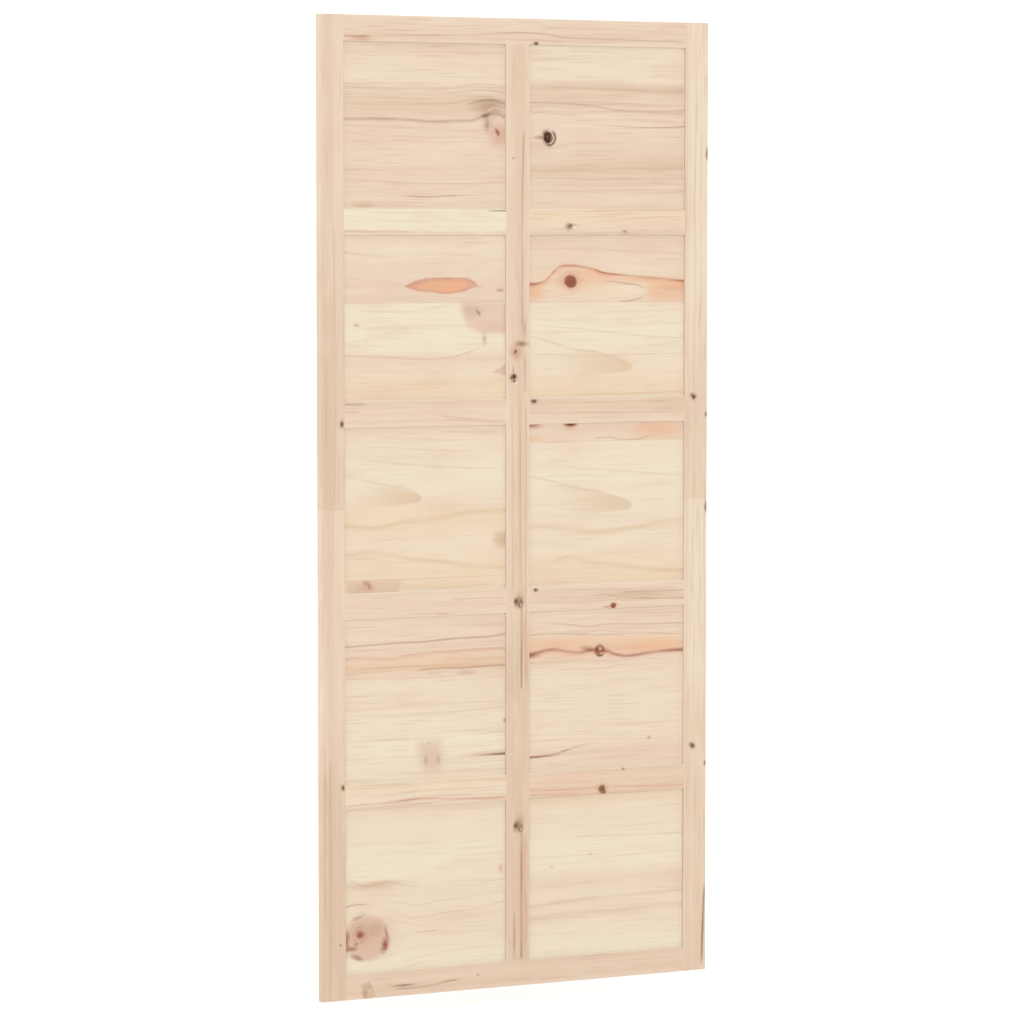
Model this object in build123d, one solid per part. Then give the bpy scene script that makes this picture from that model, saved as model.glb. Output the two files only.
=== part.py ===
"""Sliding barn door leaf in solid pine: a grooved frame that holds two columns of flat panels.

Millimetres. X runs across the leaf, Y through it with the front at -Y, Z is up.
The origin is the middle of the top edge, where the leaf hangs, so the leaf lies below Z = 0.
"""

import os

from build123d import *

# Overall leaf
LEAF_WIDTH = 900.0
LEAF_HEIGHT = 2045.0
LEAF_THICKNESS = 18.0

# Visible faces of the frame members
STILE_WIDTH = 55.0
MULLION_WIDTH = 55.0
TOP_RAIL_HEIGHT = 55.0
BOTTOM_RAIL_HEIGHT = 55.0
CROSS_RAIL_HEIGHT = 55.0

# Panels
PANEL_ROWS = 5
PANEL_THICKNESS = 8.0
PANEL_EDGE_GAP = 2.0  # room to swell, at the sides and the top of a panel
PANEL_FACE_GAP = 0.15  # play between a panel's face and the wall of its groove

# Stub tenons in the panel grooves
GROOVE_DEPTH = 10.0
TENON_END_GAP = 0.5  # glue room at the bottom of the groove
TENON_CHEEK_GAP = 0.1  # glue room at each face of a tenon

# Eased edges
SIGHT_EDGE_EASE = 1.0  # chamfer round every panel opening
OUTER_EDGE_RADIUS = 1.5  # round-over of the leaf's outside edges

# Values that follow from the sizes above
HALF_WIDTH = LEAF_WIDTH / 2
HALF_MULLION = MULLION_WIDTH / 2
STILE_INNER_X = HALF_WIDTH - STILE_WIDTH
GROOVE_WIDTH = PANEL_THICKNESS + 2 * PANEL_FACE_GAP
TENON_LENGTH = GROOVE_DEPTH - TENON_END_GAP
TENON_THICKNESS = GROOVE_WIDTH - 2 * TENON_CHEEK_GAP
TOP_RAIL_LOWER_Z = -TOP_RAIL_HEIGHT
BOTTOM_RAIL_UPPER_Z = -LEAF_HEIGHT + BOTTOM_RAIL_HEIGHT
CROSS_RAILS = PANEL_ROWS - 1
FIELD_HEIGHT = TOP_RAIL_LOWER_Z - BOTTOM_RAIL_UPPER_Z
SIGHT_HEIGHT = (FIELD_HEIGHT - CROSS_RAILS * CROSS_RAIL_HEIGHT) / PANEL_ROWS
ROW_PITCH = SIGHT_HEIGHT + CROSS_RAIL_HEIGHT

# Each column of panels by name, from its left sight edge to its right one
COLUMNS = {
    "left": (-STILE_INNER_X, -HALF_MULLION),
    "right": (HALF_MULLION, STILE_INNER_X),
}
ROWS = range(1, PANEL_ROWS + 1)


def slab(x_span, z_span, thickness=LEAF_THICKNESS):
    """A flat board, centred through the leaf, between two X and two Z values."""
    (x0, x1), (z0, z1) = x_span, z_span
    middle = Pos((x0 + x1) / 2, 0, (z0 + z1) / 2)
    return middle * Box(x1 - x0, thickness, z1 - z0)


def sight_span(row):
    """Lower and upper Z of the visible part of a panel row, counted from the top."""
    upper = TOP_RAIL_LOWER_Z - (row - 1) * ROW_PITCH
    return upper - SIGHT_HEIGHT, upper


def rail_span(row):
    """Lower and upper Z of the cross rail under a panel row."""
    upper = sight_span(row)[0]
    return upper - CROSS_RAIL_HEIGHT, upper


def sight_bevel(x_span, z_span):
    """The two shallow frusta that ease the edges round one panel opening, front and back."""
    (x0, x1), (z0, z1) = x_span, z_span
    width, height = x1 - x0, z1 - z0
    grow = 2 * SIGHT_EDGE_EASE
    cutters = []
    for facing in (-1, 1):
        face = Plane(
            origin=((x0 + x1) / 2, facing * LEAF_THICKNESS / 2, (z0 + z1) / 2),
            x_dir=(1, 0, 0),
            z_dir=(0, facing, 0),
        )
        at_depth = face.offset(-SIGHT_EDGE_EASE) * Rectangle(width, height)
        at_face = face * Rectangle(width + grow, height + grow)
        cutters.append(loft([at_depth, at_face]))
    return cutters


def sight_bevels(columns, rows):
    """The bevel cutters of all the openings that a member borders on."""
    return [
        cutter
        for column in columns
        for row in rows
        for cutter in sight_bevel(COLUMNS[column], sight_span(row))
    ]


def on_outside(edge):
    """True for an edge on the leaf's outline that lies on its front or back, or at a corner."""
    middle = edge.center()
    on_side = abs(abs(middle.X) - HALF_WIDTH) < 1e-3
    on_top = abs(middle.Z) < 1e-3
    on_bottom = abs(middle.Z + LEAF_HEIGHT) < 1e-3
    on_face = abs(abs(middle.Y) - LEAF_THICKNESS / 2) < 1e-3
    at_corner = on_side and (on_top or on_bottom)
    return at_corner or (on_face and (on_side or on_top or on_bottom))


def round_outside(member):
    """Rounds the edges of a member that form the leaf's outline."""
    return fillet(member.edges().filter_by(on_outside), OUTER_EDGE_RADIUS)


def make_stile(side):
    """Full-height stile, grooved along its inner edge. side is -1 at the left and 1 at the right."""
    column = "left" if side < 0 else "right"
    leaf_span = (-LEAF_HEIGHT, 0)
    inner, outer = side * STILE_INNER_X, side * HALF_WIDTH
    stile = round_outside(slab(sorted((inner, outer)), leaf_span))
    groove_floor = inner + side * GROOVE_DEPTH
    stile -= slab(sorted((inner, groove_floor)), leaf_span, GROOVE_WIDTH)
    return stile - sight_bevels([column], ROWS)


def make_end_rail(z_span, groove_z_span, row):
    """Top or bottom rail between the stiles, with a stub tenon at each end."""
    body = round_outside(slab((-STILE_INNER_X, STILE_INNER_X), z_span))
    reach = STILE_INNER_X + TENON_LENGTH
    tenons = slab((-reach, reach), z_span, TENON_THICKNESS)
    rail = body + tenons - slab((-reach, reach), groove_z_span, GROOVE_WIDTH)
    return rail - sight_bevels(COLUMNS, [row])


def make_mullion():
    """Centre post between the end rails, grooved along both edges, with a stub tenon at each end."""
    body_span = (BOTTOM_RAIL_UPPER_Z, TOP_RAIL_LOWER_Z)
    tenon_span = (body_span[0] - TENON_LENGTH, body_span[1] + TENON_LENGTH)
    mullion = slab((-HALF_MULLION, HALF_MULLION), body_span)
    mullion += slab((-HALF_MULLION, HALF_MULLION), tenon_span, TENON_THICKNESS)
    floor_x = HALF_MULLION - GROOVE_DEPTH
    for groove in ((-HALF_MULLION, -floor_x), (floor_x, HALF_MULLION)):
        mullion -= slab(groove, tenon_span, GROOVE_WIDTH)
    return mullion - sight_bevels(COLUMNS, ROWS)


def make_cross_rail(column, row):
    """Short rail under a panel row, grooved above and below, with a stub tenon at each end."""
    x_span, z_span = COLUMNS[column], rail_span(row)
    tenon_x = (x_span[0] - TENON_LENGTH, x_span[1] + TENON_LENGTH)
    rail = slab(x_span, z_span) + slab(tenon_x, z_span, TENON_THICKNESS)
    for groove in (
        (z_span[0], z_span[0] + GROOVE_DEPTH),
        (z_span[1] - GROOVE_DEPTH, z_span[1]),
    ):
        rail -= slab(tenon_x, groove, GROOVE_WIDTH)
    return rail - sight_bevels([column], [row, row + 1])


def make_panel(column, row):
    """Flat panel that stands on the floor of the groove below it and floats at its other edges."""
    tongue = GROOVE_DEPTH - PANEL_EDGE_GAP
    (x0, x1), (z0, z1) = COLUMNS[column], sight_span(row)
    return slab((x0 - tongue, x1 + tongue), (z0 - GROOVE_DEPTH, z1 + tongue), PANEL_THICKNESS)


def make_pieces():
    """Every piece of the leaf by node name."""
    top_groove = (TOP_RAIL_LOWER_Z, TOP_RAIL_LOWER_Z + GROOVE_DEPTH)
    bottom_groove = (BOTTOM_RAIL_UPPER_Z - GROOVE_DEPTH, BOTTOM_RAIL_UPPER_Z)
    pieces = {
        "left_stile": make_stile(-1),
        "right_stile": make_stile(1),
        "top_rail": make_end_rail((TOP_RAIL_LOWER_Z, 0), top_groove, 1),
        "bottom_rail": make_end_rail(
            (-LEAF_HEIGHT, BOTTOM_RAIL_UPPER_Z), bottom_groove, PANEL_ROWS
        ),
        "mullion": make_mullion(),
    }
    for column in COLUMNS:
        for row in ROWS:
            pieces[f"{column}_panel_{row}"] = make_panel(column, row)
        for row in range(1, CROSS_RAILS + 1):
            pieces[f"{column}_cross_rail_{row}"] = make_cross_rail(column, row)
    return pieces


os.makedirs("parts", exist_ok=True)
for name, piece in make_pieces().items():
    export_step(piece, f"parts/{name}.step")
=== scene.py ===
"""Looks of the pine barn door leaf: knotty pine on every CAD piece, soft studio light and the photo's view.

Each piece keeps its CAD shape. Its material is drawn in millimetres along the grain and across it, from the
piece's visible top left corner, so every grain line, knot and glue joint has its real size and place.
"""

from math import cos, hypot, radians, sin

import bpy
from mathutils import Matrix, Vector


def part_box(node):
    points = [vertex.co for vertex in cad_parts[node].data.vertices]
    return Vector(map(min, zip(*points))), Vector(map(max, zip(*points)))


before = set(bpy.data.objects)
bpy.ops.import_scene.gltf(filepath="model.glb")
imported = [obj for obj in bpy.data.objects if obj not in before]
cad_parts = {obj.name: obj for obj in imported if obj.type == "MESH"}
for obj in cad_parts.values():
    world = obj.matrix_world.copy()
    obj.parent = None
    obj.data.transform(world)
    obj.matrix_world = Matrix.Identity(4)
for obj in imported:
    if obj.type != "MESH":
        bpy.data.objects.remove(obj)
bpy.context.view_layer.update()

X, Y, Z = 0, 1, 2
MM = 1000.0  # millimetres in a metre


def span(node, axis):
    """Lowest and highest place of a CAD node along an axis, in metres."""
    low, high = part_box(node)
    return low[axis], high[axis]


# Places in the leaf, in metres, from the CAD
LEAF_LEFT, LEFT_SIGHT = span("left_stile", X)
RIGHT_SIGHT, LEAF_RIGHT = span("right_stile", X)
MULLION_LEFT, MULLION_RIGHT = span("mullion", X)
LEAF_BOTTOM, LEAF_TOP = span("left_stile", Z)
RAIL_TOP = span("bottom_rail", Z)[1]
RAIL_BOTTOM = span("top_rail", Z)[0]
LEAF_FRONT = span("left_stile", Y)[0]
COLUMNS = {"left": (LEFT_SIGHT, MULLION_LEFT), "right": (MULLION_RIGHT, RIGHT_SIGHT)}
ROWS = 5

STUDIO_LIGHT = 1.45  # brightness of a white card in the leaf's place


def tone(red, green, blue):
    """A colour as it looks in the studio light, 0 to 255, as the linear reflectance that gives it."""
    shares = [value / 255 for value in (red, green, blue)]
    linear = [v / 12.92 if v <= 0.04045 else ((v + 0.055) / 1.055) ** 2.4 for v in shares]
    return (*(value / STUDIO_LIGHT for value in linear), 1.0)


# Pine, from pale sapwood to the dark of a dead knot
# The palest tone is only for painted light: lifted panel rims and highlights on rails' upward faces
PAINTED_LIGHT_PALE = tone(252, 240, 219)
CREAM = tone(239, 225, 201)
BLOND = tone(237, 218, 194)
ROSE = tone(234, 209, 186)
HONEY = tone(236, 212, 182)
SAND = tone(227, 201, 176)
STRAW = tone(223, 198, 165)
WHEAT = tone(216, 184, 150)
TAN = tone(213, 183, 156)
CLAY = tone(184, 148, 123)
BLUSH = tone(224, 190, 169)
AMBER = tone(234, 178, 141)
CORAL = tone(212, 160, 136)
MAUVE = tone(212, 180, 158)
RUST = tone(152, 84, 62)
OLIVE = tone(138, 102, 68)
UMBER = tone(100, 64, 40)
BARK = tone(60, 36, 20)

# Noise sizes in millimetres, along the grain and across it
WEAVE = (420.0, 120.0)  # how the grain wanders
WOBBLE = (70.0, 18.0)  # small bends of lines and borders
UNEVEN = (55.0, 24.0)  # outlines of large stains
RAGGED = (13.0, 8.0)  # outlines of small stains
BREAKS = (110.0, 9.0)  # where a line fades
CLOUD = (150.0, 40.0)
BAND_LINE = (450.0, 5.0)
DASH = (85.0, 3.5)
RING_SPREAD = (3000.0, 34.0)  # how the growth rings' widths vary
RING_SHOW = (500.0, 26.0)  # where the growth rings show
FIBRE = (60.0, 1.5)
PORE = (18.0, 0.9)
PANEL_STREAKS = (320.0, 9.0)
MEMBER_STREAKS = (1500.0, 8.0)
STREAK_SHARE = {PANEL_STREAKS: 0.4, MEMBER_STREAKS: 0.36}

RING_WIDTH = 6.0  # millimetres from one growth ring to the next
FINGER_LENGTH = 9.0  # millimetres, of a finger joint
FINGER_PITCH = 6.0
RAW_SHINE = 0.06  # raw wood hardly shines
BUMP_SHARE = 0.5
BUMP_DEPTH = 0.001  # metres


class Field:
    """A number that varies over a surface: a node output with arithmetic."""

    def __init__(self, tree, socket):
        self.tree = tree
        self.socket = socket

    def __add__(self, other):
        return calculate(self.tree, "ADD", self, other)

    def __sub__(self, other):
        return calculate(self.tree, "SUBTRACT", self, other)

    def __rsub__(self, other):
        return calculate(self.tree, "SUBTRACT", other, self)

    def __mul__(self, other):
        return calculate(self.tree, "MULTIPLY", self, other)

    def __truediv__(self, other):
        return calculate(self.tree, "DIVIDE", self, other)

    def function(self, operation, *others):
        """One of the maths node's functions of this field."""
        return calculate(self.tree, operation, self, *others)

    def ramp(self, start, end):
        """A soft step: 0 at start and before, 1 at end and beyond. End may lie below start."""
        node = self.tree.nodes.new("ShaderNodeMapRange")
        node.interpolation_type = "SMOOTHSTEP"
        feed(self.tree, node.inputs["Value"], self)
        node.inputs["From Min"].default_value = start
        node.inputs["From Max"].default_value = end
        return Field(self.tree, node.outputs["Result"])


def feed(tree, slot, value):
    """Puts a field or a constant into a node's input."""
    if isinstance(value, Field):
        tree.links.new(value.socket, slot)
    else:
        slot.default_value = value


def calculate(tree, operation, *values):
    """A maths node on fields and constants."""
    node = tree.nodes.new("ShaderNodeMath")
    node.operation = operation
    for slot, value in zip(node.inputs, values):
        feed(tree, slot, value)
    return Field(tree, node.outputs[0])


class Pine:
    """The pine of one piece: its base grain, and the lines, knots and stains drawn on it."""

    def __init__(self, name, corner, size, upright, paint_rim_light, streaks, seed):
        self.name = name
        self.corner = corner
        self.length, self.height = size
        self.upright = upright
        self.paint_rim_light = paint_rim_light
        self.streaks = streaks
        self.seed = seed
        self.grain_share = 1.0
        self.zone_stops = [(0.0, ROSE)]
        self.seams = []
        self.bands = []
        self.stretches = []
        self.knots = []
        self.marks = []

    # What the piece shows

    def zones(self, *stops):
        """Broad colour zones: pairs of a level across the grain and a tone. The outer tones run on."""
        self.zone_stops = list(stops)

    def seam(self, *levels):
        """Glue joints between the lamellae, along the grain."""
        self.seams.extend(levels)

    def grain(self, share):
        """How strongly the streaks and dashes show, from 0 to 1."""
        self.grain_share = share

    def band(self, start, end, share):
        """A zone where dark latewood lines stand close together."""
        self.bands.append((start, end, share))

    def stretch(self, start, end, tint, share, lead=0.0):
        """A length of another board between two finger joints; lead is how slowly its tint comes in."""
        self.stretches.append((start, end, tint, share, lead))

    def line(self, points, tint=TAN, share=0.5, width=2.6, soft=None, fade=30.0):
        """A grain line through points; soft is its reach on the lower or right side."""
        self.marks.append((self.draw_line, points, tint, share, width, soft or width, fade))

    def stain(self, along, across, reach, depth, tint, share, edge=0.2, rough=0.4, tilt=0.0):
        """A patch of colour with an uneven outline; edge is where it starts to fade, tilt is in degrees."""
        self.marks.append((self.draw_stain, along, across, reach, depth, tint, share, edge, rough, tilt))

    def patch(self, corners, tint, share, soft=2.0):
        """A patch of colour with straight sides, its corners in clockwise order."""
        self.marks.append((self.draw_patch, corners, tint, share, soft))

    def tongue(self, base, tip, half, tint, share, root=0.4):
        """The rounded end of a growth ring, from its base to its tip, darkest at the tip."""
        self.marks.append((self.draw_tongue, base, tip, half, tint, share, root))

    def spot(self, along, across, reach, depth, tint, share, edge=0.0, rough=0.5, tilt=0.0):
        """A stain on the latest knot, its place and size in shares of that knot's radii."""
        knot_along, knot_across, knot_reach, knot_depth = self.knots[-1]
        place = (knot_along + along * knot_reach, knot_across + across * knot_depth)
        self.stain(*place, reach * knot_reach, depth * knot_depth, tint, share, edge, rough, tilt)

    def pin_knot(self, along, across, reach, depth, core=UMBER, skirt=OLIVE):
        """A small soft knot: a dark core in a brown skirt."""
        self.knots.append((along, across, reach, depth))
        self.spot(0, 0, 2.2, 2.2, skirt, 0.51)
        self.spot(0, 0, 1.2, 1.2, core, 0.85, 0.2)

    def red_knot(self, along, across, reach, depth, body=RUST, halo=AMBER, halo_share=0.5):
        """A sound red-brown knot in a warm halo."""
        self.knots.append((along, across, reach, depth))
        self.spot(0, 0, 2.6, 2.2, halo, halo_share, 0.1)
        self.spot(0, 0, 1.15, 1.15, body, 0.92, 0.65, 0.6)
        self.spot(0, 0.2, 0.9, 0.9, UMBER, 0.32, 0.0, 0.9)

    def dead_knot(self, along, across, reach, depth):
        """A dark loose knot with dark crescents and a painted glint of pale ones on its lower right side.
        """
        self.knots.append((along, across, reach, depth))
        self.spot(-1.2, 0, 1.7, 0.35, OLIVE, 0.6)
        self.spot(-0.1, 0, 1.6, 1.5, OLIVE, 0.6)
        self.marks.append((self.draw_crescents_and_glint, along, across, reach, depth))
        self.spot(-0.25, -0.05, 0.92, 1.1, BARK, 0.97, 0.45, 0.7)
        self.spot(-0.2, -0.1, 0.3, 0.45, OLIVE, 0.7)

    def ring_knot(self, along, across, reach, depth):
        """A red-brown knot with a pale middle and a pale crescent."""
        self.knots.append((along, across, reach, depth))
        self.spot(0, 0, 2.4, 0.7, RUST, 0.6, 0.0, 0.4)
        self.spot(0, 0, 1.12, 1.12, RUST, 0.75, 0.7, 0.3)
        self.spot(0, 0.75, 0.8, 0.3, UMBER, 0.7, 0.0, 0.3)
        self.spot(-0.5, -0.1, 0.35, 0.7, UMBER, 0.5, 0.0, 0.3)
        self.spot(0.1, -0.3, 0.42, 0.4, ROSE, 0.65, 0.1)
        self.spot(0.35, 0.4, 0.5, 0.2, ROSE, 0.7, 0.1, 0.4, -25)

    def tooth_knot(self, along, across):
        """A forked brown knot in an upright, with a pale loop beside its root."""
        self.knots.append((along, across, 14.0, 14.0))
        self.stain(along - 15, across + 5, 18, 14, CLAY, 0.45, 0.0, 0.6)
        self.stain(along - 1, across + 1, 17, 16, OLIVE, 0.65, 0.3, 0.7)
        self.stain(along - 3, across - 5, 11, 8, UMBER, 0.85, 0.0, 0.6)
        self.stain(along - 2, across + 9, 12, 5, UMBER, 0.5, 0.0, 0.6)
        self.stain(along + 6, across + 6, 11, 7, UMBER, 0.5, 0.3, 0.5)
        self.stain(along + 5, across + 6.5, 6, 3, HONEY, 0.75, 0.0, 0.4)

    def ringed_knot(self, along, across, reach, depth, heart):
        """A wide sound knot, with its growth rings about a heart off its middle."""
        self.knots.append((along, across, reach, depth))
        self.spot(0, 0, 1.12, 1.12, BLUSH, 0.85, 0.75, 0.3)
        self.marks.append((self.draw_rings, *heart, 0.6 * reach, 0.6 * depth))

    # How it is drawn

    def texture(self, size, seed, detail=2.0, rough=0.5, place=None):
        """Stretched noise, 0 to 1, with its size along the grain and across it."""
        nodes, links = self.tree.nodes, self.tree.links
        size_along, size_across = size
        scale = nodes.new("ShaderNodeVectorMath")
        scale.operation = "MULTIPLY_ADD"
        links.new(place or self.place, scale.inputs[0])
        scale.inputs[1].default_value = (1 / size_along, 1 / size_across, 1 / size_across)
        scale.inputs[2].default_value = (self.seed + seed, 3.1 * self.seed - seed, 1.7 * seed)
        noise = nodes.new("ShaderNodeTexNoise")
        links.new(scale.outputs[0], noise.inputs["Vector"])
        noise.inputs["Scale"].default_value = 1.0
        noise.inputs["Detail"].default_value = detail
        noise.inputs["Roughness"].default_value = rough
        return Field(self.tree, noise.outputs[0])

    def mix(self, share, first, second):
        """A colour between two, by a field."""
        node = self.tree.nodes.new("ShaderNodeMix")
        node.data_type = "RGBA"
        feed(self.tree, node.inputs[0], share)
        for slot, colour in ((node.inputs[6], first), (node.inputs[7], second)):
            if isinstance(colour, tuple):
                slot.default_value = colour
            else:
                self.tree.links.new(colour, slot)
        return node.outputs[2]

    def join(self, *fields):
        """A vector of three fields."""
        node = self.tree.nodes.new("ShaderNodeCombineXYZ")
        for slot, field in zip(node.inputs, fields):
            self.tree.links.new(field.socket, slot)
        return node.outputs[0]

    def split(self, vector):
        """The three fields of a vector."""
        node = self.tree.nodes.new("ShaderNodeSeparateXYZ")
        self.tree.links.new(vector, node.inputs[0])
        return [Field(self.tree, socket) for socket in node.outputs]

    def locate(self):
        """Fields along the grain, across it and through the leaf, in millimetres, and shared noises."""
        x, y, z = self.split(self.tree.nodes.new("ShaderNodeTexCoord").outputs["Object"])
        rightward = (x - self.corner[0]) * MM
        downward = (self.corner[1] - z) * MM
        self.along, self.across = (downward, rightward) if self.upright else (rightward, downward)
        self.depth = (y - LEAF_FRONT) * MM
        self.place = self.join(self.along, self.across, self.depth)
        self.wobble = (self.texture(WOBBLE, 2.0, 1.0) - 0.5) * 3.0
        self.ragged = self.texture(RAGGED, 9.0, 3.0, 0.6) - 0.5
        self.uneven = self.texture(UNEVEN, 11.0, 2.0, 0.6) - 0.5
        self.breaks = self.texture(BREAKS, 7.0).ramp(0.3, 0.66) * 0.6 + 0.4

    def lane(self):
        """The level across the grain, bent as the grain is: it wanders, and goes round the knots."""
        weave = (self.texture(WEAVE, 1.0, 1.0) - 0.5) * 18.0
        lane = self.across + weave + self.wobble
        for along, across, reach, radius in self.knots:
            ahead = (self.along - along) / (2.6 * reach)
            beside = (self.across - across) / radius
            near = (ahead * ahead + beside * beside * 0.1).function("MULTIPLY", -1.0).function("EXPONENT")
            side = beside / (beside * beside + 0.4).function("SQRT")
            lane = lane - side * near * (0.8 * radius)
        for number, level in enumerate(self.seams):
            lane = lane + self.across.function("GREATER_THAN", level) * (61.0 + 37.0 * number)
        return lane

    def draw_zones(self):
        """The broad colours, with uneven borders except at the glue joints."""
        waver = self.wobble * 2.0 + self.uneven * 16.0
        for level in self.seams:
            waver = waver * (self.across - level).function("ABSOLUTE").ramp(2.0, 20.0)
        zone = self.tree.nodes.new("ShaderNodeValToRGB")
        feed(self.tree, zone.inputs[0], (self.across + waver) / self.height)
        stops = zone.color_ramp.elements
        while len(stops) < len(self.zone_stops):
            stops.new(0.5)
        while len(stops) > len(self.zone_stops):
            stops.remove(stops[-1])
        for stop, (level, tint) in zip(stops, self.zone_stops):
            stop.position = level / self.height
            stop.color = tint
        return zone.outputs[0]

    def draw_stretch(self, colour, start, end, tint, share, lead):
        """Another board's tint, ending in the zigzag of a finger joint across the thickness."""
        finger = (self.depth / FINGER_PITCH).function("PINGPONG", 1.0) * FINGER_LENGTH
        place = self.along + finger
        inside = place.ramp(start, start + lead + 0.1) * place.function("LESS_THAN", end)
        return self.mix(inside * share, colour, tint)

    def late_wood(self, lane, flow):
        """The dark side of the growth rings, about a heart beside the piece and behind it."""
        sideways = lane + 0.6 * self.height
        behind = self.along * 0.03 + self.depth + 40.0
        radius = (sideways * sideways + behind * behind).function("SQRT")
        spread = (self.texture(RING_SPREAD, 4.0, 1.0, 0.5, flow) - 0.5) * 2.4
        ring = (radius / RING_WIDTH + spread).function("FRACT")
        late = ring.ramp(0.2, 0.92) * ring.ramp(1.0, 0.94)
        return late * self.texture(RING_SHOW, 8.0, 1.0).ramp(0.4, 0.75)

    def base(self):
        """Colour zones with clouds, streaks, growth rings and fibres, and their height for the bump."""
        lane = self.lane()
        flow = self.join(self.along, lane, self.depth)
        colour = self.draw_zones()
        for stretch in self.stretches:
            colour = self.draw_stretch(colour, *stretch)

        cloud = self.texture(CLOUD, 10.0)
        colour = self.mix(cloud.ramp(0.5, 0.85) * 0.4, colour, BLUSH)
        colour = self.mix(cloud.ramp(0.5, 0.15) * 0.5, colour, CREAM)

        strength = STREAK_SHARE[self.streaks] * self.grain_share
        streak = self.texture(self.streaks, 3.0, 1.0, 0.5, flow)
        colour = self.mix(streak.ramp(0.53, 0.8) * strength, colour, TAN)
        colour = self.mix(streak.ramp(0.47, 0.2) * strength, colour, CREAM)
        for start, end, share in self.bands:
            lines = self.texture(BAND_LINE, 13.0 + start, 1.0, 0.5, flow).ramp(0.4, 0.75)
            inside = self.across.ramp(start - 6, start + 6) * self.across.ramp(end + 6, end - 6)
            colour = self.mix(lines * inside * share, colour, CLAY)
        dashes = self.texture(DASH, 12.0, 0.0, 0.5, flow).ramp(0.58, 0.85)
        colour = self.mix(dashes * (0.25 * self.grain_share), colour, CLAY)

        late = self.late_wood(lane, flow)
        colour = self.mix(late * 0.14, colour, TAN)
        fibre = self.texture(FIBRE, 5.0, 2.0, 0.5, flow)
        colour = self.mix(fibre.ramp(0.5, 0.85) * 0.08, colour, TAN)
        pores = self.texture(PORE, 6.0, 1.0).ramp(0.7, 0.82)
        colour = self.mix(pores * 0.2, colour, OLIVE)
        height = late * 0.05 + fibre * 0.05 - pores * 0.04
        for level in self.seams:
            hairline = (self.across - level).function("ABSOLUTE").ramp(0.9, 0.2)
            colour = self.mix(hairline * 0.2, colour, UMBER)
            height = height - hairline * 0.05
        # Panels get painted light along their rims, against the shade of the recess
        if self.paint_rim_light:
            colour = self.draw_painted_rim_light(colour)
        return self.draw_end_grain_and_top_highlight(colour, late), fibre, height

    def draw_painted_rim_light(self, colour):
        """Painted light on a panel's rim: paler colour by the frame that lifts the recess's shade."""
        sides = (self.along, self.length - self.along, self.across, self.height - self.across)
        nearest = sides[0]
        for side in sides[1:]:
            nearest = nearest.function("MINIMUM", side)
        # Painted light: pale within 5 mm of the rim
        return self.mix(nearest.ramp(5.0, 0.5) * 0.6, colour, PAINTED_LIGHT_PALE)

    def draw_end_grain_and_top_highlight(self, colour, late):
        """Darker end grain on an upright's cut ends, and a painted highlight on a rail's upward faces."""
        normal = self.tree.nodes.new("ShaderNodeNewGeometry").outputs["Normal"]
        upward = self.split(normal)[Z]
        if self.upright:
            end = upward.function("ABSOLUTE").ramp(0.8, 0.95)
            return self.mix(end * (late * 0.4 + 0.35), colour, CLAY)
        # Painted highlight: a rail's upward faces and eased edges made pale, as if lit from above
        return self.mix(upward.ramp(0.3, 0.6) * 0.8, colour, PAINTED_LIGHT_PALE)

    def draw_line(self, colour, points, tint, share, width, soft, fade):
        """One grain line on the colour so far."""
        curve = self.tree.nodes.new("ShaderNodeFloatCurve")
        feed(self.tree, curve.inputs["Value"], self.along / self.length)
        track = curve.mapping.curves[0].points
        spots = [(min(max(a / self.length, 0.0), 1.0), b / self.height) for a, b in points]
        while len(track) < len(spots):
            track.new(0.5, 0.5)
        for point, spot in zip(track, spots):
            point.location = spot
        curve.mapping.update()
        level = Field(self.tree, curve.outputs[0]) * self.height
        off = self.across + self.wobble * 0.5 - level
        reach = (off * (-1 / width)).function("MAXIMUM", off / soft)
        mask = reach.ramp(1.0, 0.0) * self.breaks
        start, end = points[0][0], points[-1][0]
        if start > 0:
            mask = mask * self.along.ramp(start, start + fade)
        if end < self.length:
            mask = mask * self.along.ramp(end, end - fade)
        return self.mix(mask * share, colour, tint)

    def round_about(self, along, across, reach, depth, rough, tilt=0.0):
        """Distance from a centre in shares of an ellipse's radii, with an uneven outline."""
        ahead = self.along - along
        beside = self.across - across
        if tilt:
            turn, rise = cos(radians(tilt)), sin(radians(tilt))
            ahead, beside = ahead * turn + beside * rise, beside * turn - ahead * rise
        ahead, beside = ahead / reach, beside / depth
        distance = (ahead * ahead + beside * beside).function("SQRT")
        noise = self.ragged if reach + depth < 60 else self.uneven
        return distance + noise * rough

    def draw_stain(self, colour, along, across, reach, depth, tint, share, edge, rough, tilt):
        """A patch on the colour so far."""
        distance = self.round_about(along, across, reach, depth, rough, tilt)
        return self.mix(distance.ramp(1.0, edge) * share, colour, tint)

    def draw_patch(self, colour, corners, tint, share, soft):
        """A straight-sided patch on the colour so far."""
        inside = None
        for (along0, across0), (along1, across1) in zip(corners, corners[1:] + corners[:1]):
            run, rise = along1 - along0, across1 - across0
            side = (self.across - across0) * (run / hypot(run, rise))
            gap = side - (self.along - along0) * (rise / hypot(run, rise))
            inside = gap if inside is None else inside.function("MINIMUM", gap)
        mask = (inside + self.ragged * 5.0).ramp(-soft, soft) * (self.uneven + 1.0)
        return self.mix(mask * share, colour, tint)

    def draw_tongue(self, colour, base, tip, half, tint, share, root):
        """A ring's rounded end on the colour so far."""
        (along0, across0), (along1, across1) = base, tip
        way = (self.along - along0) / (along1 - along0)
        part = way.function("MAXIMUM", 0.0).function("MINIMUM", 1.0)
        axis = part * (across1 - across0) + across0
        width = ((1.0 - part).function("POWER", 0.38) * half).function("MAXIMUM", 0.01)
        off = (self.across + self.wobble * 0.6 - axis).function("ABSOLUTE") / width
        mask = off.ramp(1.1, 0.6) * part.ramp(root, 1.0) * way.function("LESS_THAN", 1.0)
        return self.mix(mask * share, colour, tint)

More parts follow.
